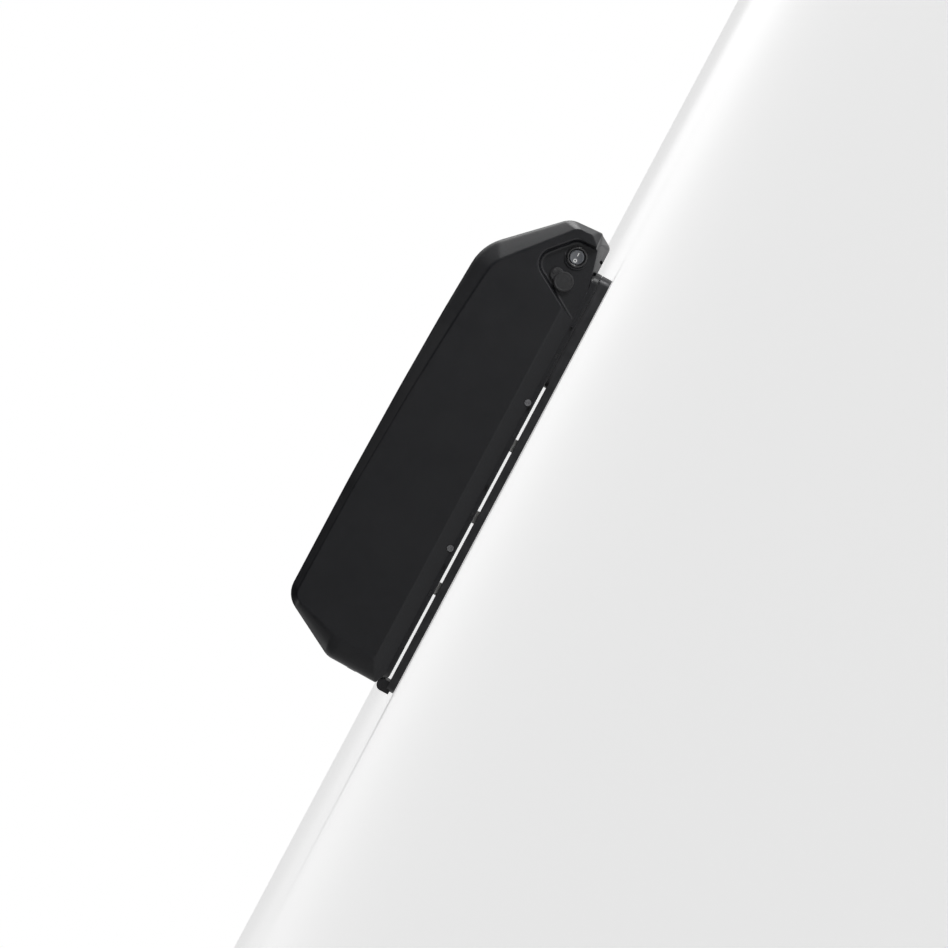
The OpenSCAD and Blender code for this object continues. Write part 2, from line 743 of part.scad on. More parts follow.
module lock_cylinder() {
    color([0.75, 0.76, 0.78]) difference() {
        union() {
            bar_y([bolt_x, lock_z], lock_r, 26, half_w - 0.4);
            bar_y([bolt_x, lock_z] + crank_r * [cos(45), sin(45)], crank_pin_r, bolt_y - 3, 27);
        }
        translate([bolt_x, half_w, lock_z]) cube([2.2, 20, 7], center = true);
    }
}

// The bolt's block carries a slot for the crank pin, and its shank drops into the mount.
module lock_bolt() {
    slot_z = lock_z + crank_rest;
    color([0.7, 0.71, 0.73]) difference() {
        union() {
            translate([bolt_x, bolt_y, base_z + 1.7]) shank(0, 20);
            span([bolt_x - 6, bolt_y - 4, 28.5], [bolt_x + 7.5, bolt_y + 4, slot_z + 4]);
        }
        translate([bolt_x + crank_rest + 0.73, bolt_y, slot_z])
            cube([5.4, 20, 2 * crank_pin_r + 0.7], center = true);
    }
}

// ---- charge gauge ----

module gauge_frame() {
    color([0.14, 0.14, 0.15]) translate([lens_at[0], half_w - wall - 2.2, lens_at[1]]) rotate([90, 0, 0])
        linear_extrude(1.2) difference() {
            pill(40, 16, 3);
            pill(30, 5, 2);
        }
}

module gauge_lens() {
    color([0.5, 0.5, 0.52]) translate([lens_at[0], half_w - 0.1, lens_at[1]]) rotate([90, 0, 0])
        linear_extrude(wall + 0.2) pill(36, 10, 3.9);
}

module gauge_board() {
    color([0.05, 0.3, 0.16])
        span([lens_at[0] - 22, 35.6, lens_at[1] - 8], [button_at[0] + 2.2, 36.8, lens_at[1] + 8]);
}

module gauge_leds() {
    color([0.3, 0.8, 0.3]) for (i = [-2:2]) translate([lens_at[0] + 6 * i, 38, lens_at[1]])
        cube([3, 2.3, 2.4], center = true);
}

module gauge_button() {
    color([0.2, 0.2, 0.21]) {
        bar_y(button_at, button_r, half_w - 4, half_w - 0.3);
        bar_y(button_at, 2, 38.4, half_w - 3);
    }
}

mount_plate();
striker_block();
mount_hooks();
hook_screws();
striker_bush();
terminal_block();
terminal_blades();
block_screws();
upper_case();
base_cover();
base_gasket();
case_screws();
cell_holder_near();
cell_holder_far();
cells();
nickel_strips_near();
nickel_strips_far();
insulation_sheets();
side_foam();
top_foam();
bms_board();
bms_components();
bms_heat_sink();
balance_harness();
lead_negative();
lead_positive();
fuse_holder();
fuse();
discharge_receptacle();
receptacle_contacts();
charge_socket();
charge_pin();
charge_nut();
cap_anchor();
charge_cap();
switch_housing();
switch_terminals();
rocker();
lock_housing();
lock_screws();
lock_cylinder();
lock_bolt();
gauge_frame();
gauge_lens();
gauge_board();
gauge_leds();
gauge_button();
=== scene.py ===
"""Looks of the battery pack and its mount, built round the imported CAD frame.

Lengths are written in millimetres and turned into metres by MM. X runs along the pack to its
nose, Z away from the frame tube, and the charge port is on the -Y side.
"""
import json
import math

import bmesh
import bpy
from mathutils import Matrix, Vector


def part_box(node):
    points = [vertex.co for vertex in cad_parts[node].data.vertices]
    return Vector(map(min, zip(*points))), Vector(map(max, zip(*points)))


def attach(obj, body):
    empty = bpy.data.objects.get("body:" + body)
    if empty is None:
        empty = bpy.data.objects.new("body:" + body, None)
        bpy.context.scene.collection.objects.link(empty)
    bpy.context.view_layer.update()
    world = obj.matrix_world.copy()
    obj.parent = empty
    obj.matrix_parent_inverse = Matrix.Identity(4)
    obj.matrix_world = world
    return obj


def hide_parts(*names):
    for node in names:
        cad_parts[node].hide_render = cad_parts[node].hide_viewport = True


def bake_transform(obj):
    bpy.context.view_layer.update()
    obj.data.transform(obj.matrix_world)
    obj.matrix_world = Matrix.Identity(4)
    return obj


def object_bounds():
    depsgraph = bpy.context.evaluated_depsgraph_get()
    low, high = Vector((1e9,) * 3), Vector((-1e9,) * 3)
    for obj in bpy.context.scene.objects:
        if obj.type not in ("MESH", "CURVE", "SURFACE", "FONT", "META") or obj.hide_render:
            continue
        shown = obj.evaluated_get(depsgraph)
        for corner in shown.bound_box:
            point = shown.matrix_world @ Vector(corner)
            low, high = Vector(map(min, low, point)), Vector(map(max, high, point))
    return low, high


MM = 0.001
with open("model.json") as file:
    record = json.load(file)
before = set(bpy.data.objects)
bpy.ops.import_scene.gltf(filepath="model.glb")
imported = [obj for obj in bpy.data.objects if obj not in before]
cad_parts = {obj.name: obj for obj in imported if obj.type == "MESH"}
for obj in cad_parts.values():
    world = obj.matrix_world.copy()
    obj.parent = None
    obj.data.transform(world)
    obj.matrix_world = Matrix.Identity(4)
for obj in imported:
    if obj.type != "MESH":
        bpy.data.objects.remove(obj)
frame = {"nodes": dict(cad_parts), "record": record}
cad_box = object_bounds()
record = frame["record"]
joints = {j["name"]: j for j in record["behaviour"]["joints"]}


def box_mm(node):
    """A node's lowest and highest corner, in millimetres."""
    low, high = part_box(node)
    return Vector(low) / MM, Vector(high) / MM


CASE_LOW, CASE_HIGH = box_mm("upper_case")
END_PAD = 0.7  # the pad on the lower end stands this proud
END_X = CASE_LOW.x + END_PAD  # outermost face of the lower end
NOSE_X = CASE_HIGH.x
TOP_Z = CASE_HIGH.z
BASE_Z = CASE_LOW.z
HALF = CASE_HIGH.y  # half the width across the side panels
CROWN = HALF - 11  # half width where the upper chamfers end
LIP = HALF - 8  # half width of the lower lip
LIP_TOP = BASE_Z + 4
PANEL_LOW = BASE_Z + 15
WALL = 2.6
FLOOR_Y = -HALF + 7.5  # floor of the recess
PORT_LOW, PORT_HIGH = box_mm("charge_socket")
PORT = Vector(((PORT_LOW.x + PORT_HIGH.x) / 2, 0, (PORT_LOW.z + PORT_HIGH.z) / 2))
SWITCH = Vector(joints["rocker_tilt"]["pos_m"]) / MM
LOCK = Vector(joints["key_turn"]["pos_m"]) / MM


# ---- camera, light and floor ----

FRAME_WIDTH = 704.0  # what the view spans at the pack's middle plane
VIEW_AT = Vector((27.8, 0, 23.3))
VIEW_DISTANCE = 3000.0
VIEW_ROLL = 61.98  # the pack's long axis stands this steep in the view
STAGE_REACH, STAGE_GAP = 6.0, 0.0005  # metres: half the floor's side, and its gap under the part


def add_camera():
    data = bpy.data.cameras.new("camera")
    cam = bpy.data.objects.new("camera", data)
    bpy.context.collection.objects.link(cam)
    data.sensor_width = 36
    data.lens = data.sensor_width * VIEW_DISTANCE / FRAME_WIDTH
    data.clip_start, data.clip_end = 0.05, 60
    roll = math.radians(VIEW_ROLL)
    right = Vector((math.cos(roll), 0, -math.sin(roll)))
    up = Vector((math.sin(roll), 0, math.cos(roll)))
    back = right.cross(up)
    turn = Matrix((right, up, back)).transposed().to_4x4()
    cam.matrix_world = Matrix.Translation((VIEW_AT + back * VIEW_DISTANCE) * MM) @ turn
    bpy.context.scene.camera = cam
    return right, up, back


def add_area_light(name, place, size, power):
    """A white rectangular light that faces the middle of the view from a place beside it."""
    data = bpy.data.lights.new(name, "AREA")
    data.shape = "RECTANGLE"
    data.size, data.size_y = size
    data.energy = power
    lamp = bpy.data.objects.new(name, data)
    bpy.context.collection.objects.link(lamp)
    lamp.location = VIEW_AT * MM + place
    lamp.rotation_euler = (-place).to_track_quat("-Z", "Y").to_euler()


def add_world():
    """Pale all round for the camera. Surfaces see a dim room with a bright wall above the nose,
    a weaker one below the lower end, and dark sides, so that black plastic keeps its contrast."""
    world = bpy.data.worlds.new("studio")
    bpy.context.scene.world = world
    world.use_nodes = True
    tree = world.node_tree
    tree.nodes.clear()
    link = tree.links.new
    coords = tree.nodes.new("ShaderNodeTexCoord")

    def ramp_along(direction, stops):
        """Brightness by how far a ray points along a direction, from -1 to 1."""
        dot = tree.nodes.new("ShaderNodeVectorMath")
        dot.operation = "DOT_PRODUCT"
        dot.inputs[1].default_value = direction
        share = tree.nodes.new("ShaderNodeMath")
        share.operation = "MULTIPLY_ADD"
        share.inputs[1].default_value = share.inputs[2].default_value = 0.5
        ramp = tree.nodes.new("ShaderNodeValToRGB")
        ramp.color_ramp.interpolation = "EASE"
        elements = ramp.color_ramp.elements
        for k, (along, value) in enumerate(stops):
            place = 0.5 + 0.5 * along
            if k == 0:
                element = elements[0]
            elif k == len(stops) - 1:
                element = elements[-1]
            else:
                element = elements.new(place)
            element.position = place
            element.color = (value, value, value, 1)
        link(coords.outputs["Generated"], dot.inputs[0])
        link(dot.outputs["Value"], share.inputs[0])
        link(share.outputs[0], ramp.inputs[0])
        return ramp.outputs[0]

    height = ramp_along(up, (
        (-1, 1.9), (-0.6, 1.6), (-0.35, 0.06), (0.46, 0.02), (0.62, 0.9), (0.8, 2.5), (1, 2.5)))
    depth = ramp_along(-back, ((-1, 0.03), (-0.25, 0.10), (0.3, 0.9), (1, 1.0)))
    both = tree.nodes.new("ShaderNodeMix")
    both.data_type, both.blend_type = "RGBA", "MULTIPLY"
    both.inputs[0].default_value = 1.0
    lit = tree.nodes.new("ShaderNodeBackground")
    seen = tree.nodes.new("ShaderNodeBackground")
    seen.inputs["Color"].default_value = (1, 1, 1, 1)
    ray = tree.nodes.new("ShaderNodeLightPath")
    mix = tree.nodes.new("ShaderNodeMixShader")
    out = tree.nodes.new("ShaderNodeOutputWorld")
    link(height, both.inputs[6])
    link(depth, both.inputs[7])
    link(both.outputs[2], lit.inputs["Color"])
    link(ray.outputs["Is Camera Ray"], mix.inputs[0])
    link(lit.outputs[0], mix.inputs[1])
    link(seen.outputs[0], mix.inputs[2])
    link(mix.outputs[0], out.inputs["Surface"])


def add_floor():
    mesh = bpy.data.meshes.new("floor")
    r = STAGE_REACH
    z = cad_box[0].z - STAGE_GAP
    mesh.from_pydata([(-r, -r, z), (r, -r, z), (r, r, z), (-r, r, z)], [], [(0, 1, 2, 3)])
    floor = bpy.data.objects.new("floor", mesh)
    bpy.context.collection.objects.link(floor)
    material = bpy.data.materials.new("floor_white")
    material.use_nodes = True
    shader = material.node_tree.nodes["Principled BSDF"]
    shader.inputs["Base Color"].default_value = (0.82, 0.82, 0.82, 1)
    shader.inputs["Roughness"].default_value = 0.8
    shader.inputs["Emission Color"].default_value = (1, 1, 1, 1)
    shader.inputs["Emission Strength"].default_value = 0.45
    mesh.materials.append(material)


right, up, back = add_camera()
add_world()
add_floor()
add_area_light("key", Vector((1.3, -1.05, 0.09)), (0.28, 0.28), 15)
add_area_light("above", up * 1.7 - back * 0.5, (1.3, 0.8), 10)
add_area_light("below", -right * 0.2 - up * 1.1 + back * 1.3 + Vector((0, 0, 1.3)), (0.8, 0.8), 1.6)
bpy.context.scene.view_settings.view_transform = "Standard"


# ---- materials ----


class Shader:
    """A principled material with a few named layers of procedural detail."""

    def __init__(self, name, colour, roughness, metallic=0.0, specular=0.5, coat=0.0):
        self.material = bpy.data.materials.new(name)
        self.material.use_nodes = True
        self.tree = self.material.node_tree
        self.main = self.tree.nodes["Principled BSDF"]
        self.main.inputs["Base Color"].default_value = (*colour, 1)
        self.main.inputs["Roughness"].default_value = roughness
        self.main.inputs["Metallic"].default_value = metallic
        self.main.inputs["Specular IOR Level"].default_value = specular
        self.main.inputs["Coat Weight"].default_value = coat
        self.colour, self.roughness = colour, roughness
        self.coords = self.tree.nodes.new("ShaderNodeTexCoord")
        self.bump = None

    def noise(self, size_mm, detail=2.0, stretch=(1, 1, 1), rough=0.5):
        """A noise whose features measure about size_mm, longer along an axis by its stretch."""
        node = self.tree.nodes.new("ShaderNodeTexNoise")
        node.inputs["Scale"].default_value = 1 / (size_mm * MM)
        node.inputs["Detail"].default_value = detail
        node.inputs["Roughness"].default_value = rough
        mapping = self.tree.nodes.new("ShaderNodeMapping")
        mapping.inputs["Scale"].default_value = [1 / s for s in stretch]
        self.tree.links.new(self.coords.outputs["Object"], mapping.inputs[0])
        self.tree.links.new(mapping.outputs[0], node.inputs["Vector"])
        return node.outputs["Fac"]

    def spread(self, value, low, high, start=0.3, end=0.7):
        """Maps start..end of a value onto low..high."""
        node = self.tree.nodes.new("ShaderNodeMapRange")
        node.inputs["From Min"].default_value = start
        node.inputs["From Max"].default_value = end
        node.inputs["To Min"].default_value = low
        node.inputs["To Max"].default_value = high
        self.tree.links.new(value, node.inputs["Value"])
        return node.outputs["Result"]

    def vary_roughness(self, value, amount):
        made = self.spread(value, self.roughness - amount, self.roughness + amount)
        self.tree.links.new(made, self.main.inputs["Roughness"])
        return self

    def vary_colour(self, value, other, start=0.35, end=0.7):
        mix = self.tree.nodes.new("ShaderNodeMix")
        mix.data_type = "RGBA"
        mix.inputs[6].default_value = (*self.colour, 1)
        mix.inputs[7].default_value = (*other, 1)
        self.tree.links.new(self.spread(value, 0, 1, start, end), mix.inputs[0])
        self.tree.links.new(mix.outputs[2], self.main.inputs["Base Color"])
        return self

    def relief(self, value, height_mm, strength=1.0):
        node = self.tree.nodes.new("ShaderNodeBump")
        node.inputs["Distance"].default_value = height_mm * MM
        node.inputs["Strength"].default_value = strength
        self.tree.links.new(value, node.inputs["Height"])
        if self.bump:
            self.tree.links.new(self.bump.outputs[0], node.inputs["Normal"])
        self.tree.links.new(node.outputs[0], self.main.inputs["Normal"])
        self.bump = node
        return self


def case_plastic(name="case_plastic", colour=(0.0056, 0.0058, 0.0070), grain=1.0):
    """Near black moulded plastic with a fine spark-eroded grain and faint handling marks."""
    s = Shader(name, colour, 0.37, specular=0.36)
    s.vary_colour(s.noise(0.6, 3, rough=0.7), [c * 2.4 for c in colour], 0.42, 0.72)
    s.vary_roughness(s.noise(28, 4, rough=0.62), 0.06)
    s.relief(s.noise(0.6, 3, rough=0.65), 0.05 * grain, 0.85)
    s.relief(s.noise(7, 2), 0.02, 0.25)
    return s.material


def plain_plastic(name, colour, roughness=0.5):
    s = Shader(name, colour, roughness)
    s.vary_roughness(s.noise(6, 3), 0.06)
    s.relief(s.noise(0.5, 2), 0.02, 0.4)
    return s.material


def rubber(name, colour=(0.014, 0.014, 0.015)):
    s = Shader(name, colour, 0.62, specular=0.35)
    s.main.inputs["Sheen Weight"].default_value = 0.12
    s.main.inputs["Sheen Roughness"].default_value = 0.5
    s.vary_colour(s.noise(1.4, 4), [c * 1.7 for c in colour])
    s.relief(s.noise(0.25, 2), 0.015, 0.5)
    return s.material


def anodised(name="plate_finish"):
    s = Shader(name, (0.022, 0.022, 0.024), 0.42, metallic=0.35)
    s.vary_roughness(s.noise(3, 3, stretch=(14, 1, 1)), 0.1)
    s.vary_colour(s.noise(9, 3), (0.035, 0.035, 0.038))
    s.relief(s.noise(0.5, 2, stretch=(20, 1, 1)), 0.012, 0.5)
    return s.material


def metal(name, colour, roughness, line=(1, 1, 1)):
    s = Shader(name, colour, roughness, metallic=1.0)
    s.vary_roughness(s.noise(1.2, 3, stretch=line), min(0.1, roughness * 0.5))
    s.vary_colour(s.noise(4, 3), [c * 0.8 for c in colour])
    s.relief(s.noise(0.3, 2, stretch=line), 0.006, 0.5)
    return s.material


def sheet_fibre(name, colour):
    s = Shader(name, colour, 0.8)
    s.vary_colour(s.noise(0.7, 5, stretch=(4, 1, 1)), [c * 0.8 for c in colour])
    s.relief(s.noise(0.5, 3, stretch=(5, 1, 1)), 0.03, 0.5)
    return s.material


def foam(name):
    s = Shader(name, (0.03, 0.03, 0.032), 0.95)
    s.vary_colour(s.noise(0.9, 3), (0.07, 0.07, 0.072))
    s.relief(s.noise(0.9, 3), 0.2, 0.9)
    return s.material


def circuit(name):
    s = Shader(name, (0.008, 0.10, 0.045), 0.3, coat=0.3)
    s.vary_colour(s.noise(1.6, 1, stretch=(1, 1, 5)), (0.02, 0.17, 0.08), 0.5, 0.53)
    s.relief(s.noise(1.6, 1, stretch=(1, 1, 5)), 0.03, 0.4)
    return s.material


def glossy(name, colour, roughness=0.22, coat=0.4):
    s = Shader(name, colour, roughness, coat=coat)
    s.vary_roughness(s.noise(3, 3), 0.05)
    s.relief(s.noise(2.5, 2), 0.006, 0.4)
    return s.material


def painted_mark(name):
    s = Shader(name, (0.85, 0.85, 0.84), 0.45)
    s.vary_colour(s.noise(0.4, 3), (0.72, 0.72, 0.71))
    s.relief(s.noise(0.3, 2), 0.01, 0.4)
    return s.material


MATERIALS = {
    "case_plastic": case_plastic(),
    "base_plastic": case_plastic("base_plastic", (0.016, 0.016, 0.017), 0.8),
    "plate_finish": anodised(),
    "steel": metal("steel", (0.52, 0.52, 0.51), 0.34, (1, 8, 1)),
    "screw_steel": metal("screw_steel", (0.24, 0.24, 0.25), 0.3),
    "black_plastic": plain_plastic("black_plastic", (0.02, 0.02, 0.021)),
    "contact_brass": metal("contact_brass", (0.78, 0.56, 0.25), 0.26, (8, 1, 1)),
    "seal_rubber": rubber("seal_rubber", (0.02, 0.02, 0.02)),
    "cap_rubber": rubber("cap_rubber"),
    "cell_sleeve": glossy("cell_sleeve", (0.03, 0.26, 0.21), 0.3),
    "nickel": metal("nickel", (0.66, 0.63, 0.58), 0.3, (9, 1, 1)),
    "insulation_paper": sheet_fibre("insulation_paper", (0.62, 0.56, 0.40)),
    "foam": foam("foam"),
    "circuit_board": circuit("circuit_board"),
    "board_parts": plain_plastic("board_parts", (0.025, 0.025, 0.028), 0.4),
    "heat_sink_metal": metal("heat_sink_metal", (0.72, 0.72, 0.73), 0.32, (1, 10, 1)),
    "ribbon_cable": plain_plastic("ribbon_cable", (0.16, 0.16, 0.18), 0.45),
    "black_wire": rubber("black_wire", (0.016, 0.016, 0.016)),
    "red_wire": rubber("red_wire", (0.33, 0.012, 0.01)),
    "fuse_body": glossy("fuse_body", (0.75, 0.27, 0.02), 0.16),
    "switch_plastic": glossy("switch_plastic", (0.011, 0.011, 0.012), 0.3, 0.2),
    "rocker_plastic": glossy("rocker_plastic", (0.10, 0.105, 0.115), 0.36, 0.15),
    "lock_casting": metal("lock_casting", (0.36, 0.36, 0.37), 0.5),
    "lock_metal": metal("lock_metal", (0.72, 0.72, 0.71), 0.16),
    "lens_plastic": glossy("lens_plastic", (0.02, 0.021, 0.023), 0.1, 0.6),
    "indicator_light": glossy("indicator_light", (0.06, 0.45, 0.10), 0.2),
}
MARK = painted_mark("mark_white")

for part in record["subparts"]:
    node = frame["nodes"][part["node"]]
    node.data.materials.clear()
    node.data.materials.append(MATERIALS[part["material_slot"]])


# ---- mesh helpers ----


def mesh_object(name, points, faces):
    """A closed mesh from points in millimetres, with its faces turned outwards."""
    mesh = bpy.data.meshes.new(name)
    bm = bmesh.new()
    verts = [bm.verts.new(Vector(p) * MM) for p in points]
    for face in faces:
        bm.faces.new([verts[i] for i in face])
    bmesh.ops.recalc_face_normals(bm, faces=bm.faces)
    bm.to_mesh(mesh)
    bm.free()
    made = bpy.data.objects.new(name, mesh)
    bpy.context.collection.objects.link(made)
    return made


def loft(name, rings):
    """A closed skin over rings that hold the same number of points."""
    n = len(rings[0])
    points = [p for ring in rings for p in ring]
    faces = []
    for k in range(len(rings) - 1):
        for i in range(n):
            j = (i + 1) % n
            faces.append((k * n + i, k * n + j, (k + 1) * n + j, (k + 1) * n + i))
    faces.append(tuple(range(n)))
    faces.append(tuple((len(rings) - 1) * n + i for i in range(n)))
    return mesh_object(name, points, faces)


def rounded(corners, steps=6):
    """A polygon's corners (x, z, radius) as a loop of points with its corners rounded."""
    loop = []
    count = len(corners)
    for i, (x, z, radius) in enumerate(corners):
        here = Vector((x, z))
        a = Vector(corners[i - 1][:2]) - here
        b = Vector(corners[(i + 1) % count][:2]) - here
        half = a.angle(b) / 2
        reach = min(radius / math.tan(half), a.length * 0.48, b.length * 0.48)
        radius = reach * math.tan(half)
        centre = here + (a.normalized() + b.normalized()).normalized() * (radius / math.sin(half))
        start = here + a.normalized() * reach - centre
        end = here + b.normalized() * reach - centre
        sweep = start.angle_signed(end)
        for k in range(steps + 1):
            turned = start.copy()
            turned.rotate(Matrix.Rotation(-sweep * k / steps, 2))
            loop.append(centre + turned)
    return loop


def inset_corners(corners, distance):
    """The corners of a clockwise polygon, moved inwards by a distance."""
    moved = []
    count = len(corners)
    for i, (x, z, radius) in enumerate(corners):
        here = Vector((x, z))
        a = (here - Vector(corners[i - 1][:2])).normalized()
        b = (Vector(corners[(i + 1) % count][:2]) - here).normalized()
        na, nb = Vector((a.y, -a.x)), Vector((b.y, -b.x))
        step = (na + nb) / max(0.2, 1 + na.dot(nb))
        moved.append((*(here + step * distance), max(radius - distance, 0.4)))
    return moved


def curve_points(a, b, c, steps):
    """Points of the quadratic curve from a to c that bends towards b."""
    made = []
    for k in range(steps + 1):
        t = k / steps
        made.append(tuple(
            (1 - t) ** 2 * p + 2 * t * (1 - t) * q + t * t * r for p, q, r in zip(a, b, c)))
    return made


def circle_loop(radius, count):
    angles = [2 * math.pi * i / count for i in range(count)]
    return [Vector((radius * math.cos(a), radius * math.sin(a))) for a in angles]


def turned_y(name, centre, profile, count=72):
    """A solid turned about an axis along Y. The profile is a list of (radius, y)."""
    rings = [[(centre.x + p.x, y, centre.z + p.y) for p in circle_loop(r, count)] for r, y in profile]
    return loft(name, rings)


def combine(target, tool, operation):
    """Applies one exact Boolean to the target and removes the tool."""
    step = target.modifiers.new("cut", "BOOLEAN")
    step.operation, step.object, step.solver = operation, tool, "EXACT"
    graph = bpy.context.evaluated_depsgraph_get()
    made = bpy.data.meshes.new_from_object(target.evaluated_get(graph))
    target.modifiers.clear()
    old = target.data
    target.data = made
    bpy.data.meshes.remove(old)
    bpy.data.objects.remove(tool)


def cut(target, tool):
    combine(target, tool, "DIFFERENCE")


def finish_piece(piece, body, slot, material=None, smooth_deg=32):
    piece.data.materials.clear()
    piece.data.materials.append(material or MATERIALS[slot])
    for polygon in piece.data.polygons:
        polygon.use_smooth = True
        polygon.material_index = 0
    piece.data.set_sharp_from_angle(angle=math.radians(smooth_deg))
    if body:
        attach(piece, body)


def soften(node, width_mm, angle_deg=35, segments=2):
    """Rounds the sharp edges of a CAD node with a modifier."""
    piece = frame["nodes"][node]
    bevel = piece.modifiers.new("edges", "BEVEL")
    bevel.width = width_mm * MM
    bevel.segments = segments
    bevel.limit_method = "ANGLE"
    bevel.angle_limit = math.radians(angle_deg)
    bevel.harden_normals = True
    for polygon in piece.data.polygons:
        polygon.use_smooth = True


# ---- the case ----

# Corners of the side view: (panel x, z, radius), (outermost x, z, radius), on the lower end.
E, N = END_X, NOSE_X
UPPER = [
    ((E + 14.5, PANEL_LOW, 1.2), (E, 15.1, 2.0), True),
    ((E + 15.5, 55, 40), (E + 0.7, 55.8, 14), True),
    ((E + 28.6, 97.6, 9), (E + 26.6, TOP_Z, 18), True),
    ((-20, 96.6, 500), (-20, TOP_Z, 900), False),
    ((60, 93.1, 500), (60, TOP_Z - 1.3, 900), False),
    ((120, 88.9, 400), (120, TOP_Z - 3.1, 900), False),
    ((N - 57.3, 84.0, 22), (N - 49.1, 97.1, 37.5), False),
    ((N - 5.6, 39.9, 6), (N - 1.5, 48.3, 16), False),
    ((N - 5.2, 28.8, 4), (N - 0.2, 26, 6), False),
    ((N - 11.2, 22, 1.2), (N, 22.8, 1.5), False),
]
LIP_START, LIP_END = E + 7.5, N - 42.2
FOOT_START, FOOT_END, FOOT_ROUND = E + 5.5, N - 27.2, 2.6
KEEL_HALF, KEEL_X = 16, N - 6


def mixed(a, b, share):
    return tuple(p + (q - p) * share for p, q in zip(a, b))


def case_corners(t, y):
    """The case's outline, with t 0 at the panel's edge and 1 at the crown, at half width y."""
    round_in = 1 - (1 - min(t, 1)) ** 1.8 if t > 0 else 1.8 * t
    corners = [mixed(a, b, round_in if at_end else min(t, 1)) for a, b, at_end in UPPER]
    drop = min(t * (HALF - CROWN) / (HALF - LIP), 1)
    right_low = mixed((LIP_END, PANEL_LOW - 0.4, 8), (LIP_END, LIP_TOP, 8), drop)
    left_low = mixed((E + 30, PANEL_LOW, 4), (LIP_START, LIP_TOP, 4), drop)
    nose_low = corners[-1]
    on_line = mixed(right_low, nose_low, 0.8)
    keel = mixed(on_line, (KEEL_X, LIP_TOP + 0.1, 5), min(max((LIP - y) / (LIP - KEEL_HALF), 0), 1))
    return corners + [(*keel[:2], 5), right_low, left_low]


def case_levels():
    """Pairs of chamfer share and half width, from the panel's edge to the middle of the pack."""
    soft = 0.085
    depth = HALF - CROWN
    levels = curve_points((-soft, HALF), (0, HALF), (soft, HALF - depth * soft), 5)
    levels += [(t, HALF - depth * t) for t in (0.18, 0.3, 0.42, 0.56, 0.7273)]
    levels += curve_points((0.82, HALF - depth * 0.82), (1, CROWN), (1, CROWN - 2.5), 5)
    levels += [(1, y) for y in (28, 24, 20, KEEL_HALF, 8, 0)]
    return levels


def case_solid(name, inset=0.0):
    rings = []
    for t, y in case_levels():
        corners = case_corners(t, y)
        if inset:
            corners = inset_corners(corners, inset)
        rings.append([(p.x, max(y - inset, 0), p.y) for p in rounded(corners)])
    near = [[(x, -y, z) for x, y, z in ring] for ring in rings]
    far = [[(x, y, z) for x, y, z in ring] for ring in reversed(rings[:-1])]
    return loft(name, near + far)


def plan_block(name, x0, x1, half, low, high, radius):
    corners = [(x0, -half, radius), (x0, half, radius), (x1, half, radius), (x1, -half, radius)]
    loop = rounded(corners, 8)
    return loft(name, [[(p.x, p.y, z) for p in loop] for z in (low, high)])


def lip_block():
    """The lip under the case. Its foot is rounded at the lower end, where it clears the stop."""
    loops = []
    for z, inset in ((BASE_Z, 0.7), (BASE_Z + 0.25, 0.25), (BASE_Z + 0.8, 0), (LIP_TOP + 0.6, 0)):
        half = LIP - inset
        start = FOOT_START + inset + FOOT_ROUND * max(0, 1 - (z - BASE_Z) / 3) ** 2
        end = FOOT_END - inset
        corners = [(start, -half, 9), (start, half, 9), (end, half, 9), (end, -half, 9)]
        loops.append([(p.x, p.y, z) for p in rounded(corners, 8)])
    return loft("lip", loops)


def arc_loop(centre, radius, start_deg, end_deg, steps):
    angles = [math.radians(start_deg + (end_deg - start_deg) * k / steps) for k in range(steps + 1)]
    return [Vector((centre[0] + radius * math.cos(a), centre[1] + radius * math.sin(a))) for a in angles]


def recess_loop(inset):
    """The recess's outline, as the case has it, run on below the case so the cut leaves no skin."""
    low, below, slope = LIP_TOP - 4, 3.0, 1.67
    left = Vector((156 + 1.1 * inset - below / slope, low - below))
    return ([left] + arc_loop((191.3, 43.6), 12.2 - inset, 150, 45, 18)
            + arc_loop((205, 32), 11.8 - inset, 40, 5, 8) + [Vector((216.8 - inset, low - below))])


def recess_tool(grow=0.0, floor=FLOOR_Y, name="recess"):
    """The recess as a solid. Its rim flares to a rounded edge and its foot is rounded too."""
    rim, foot = -HALF, floor
    levels = [(-0.5, rim - 4)] + curve_points((-0.5, rim), (0.8, rim), (1.15, rim + 1.7), 8)
    levels += curve_points((1.6, foot - 2.4), (1.95, foot), (3.9, foot), 8)
    rings = [[(p.x, y, p.y) for p in recess_loop(inset - grow)] for inset, y in levels]
    return loft(name, rings)


def hole_tool(centre, radius, y0, y1):
    return turned_y("hole", centre, [(radius, y0), (radius, y1)], 48)


def slot_tool(x, z, length, height, y0, y1, radius=0.6):
    corners = [(x - length / 2, z - height / 2, radius), (x - length / 2, z + height / 2, radius),
               (x + length / 2, z + height / 2, radius), (x + length / 2, z - height / 2, radius)]
    loop = rounded(corners, 5)
    return loft("slot", [[(p.x, y, p.y) for p in loop] for y in (y0, y1)])


TAB_START, TAB_PITCH, TAB_SIZE = -64.5, 65.7, (3.4, 1.8)
DRAIN_START, DRAIN_PITCH, DRAIN_SIZE = -43.5, 66, (5, 1.6)
PORT_HOLE_R, SWITCH_HOLE_R, SCREW_HOLE_R = 5.6, 6.95, 2.9
NOSE_HOLE, NOSE_HOLE_R = Vector((209.5, 0, 13.8)), 1.3
LENS_OPENING, LENS_CORNER = (36.4, 10.4), 4
SCREW_LOW, SCREW_HIGH = box_mm("case_screws")
SCREW_X = [SCREW_LOW.x + 2.5, SCREW_HIGH.x - 2.5]
SCREW_Z = (SCREW_LOW.z + SCREW_HIGH.z) / 2
LENS_LOW, LENS_HIGH = box_mm("gauge_lens")
BUTTON_LOW, BUTTON_HIGH = box_mm("gauge_button")
BARREL_LOW, BARREL_HIGH = box_mm("lock_cylinder")


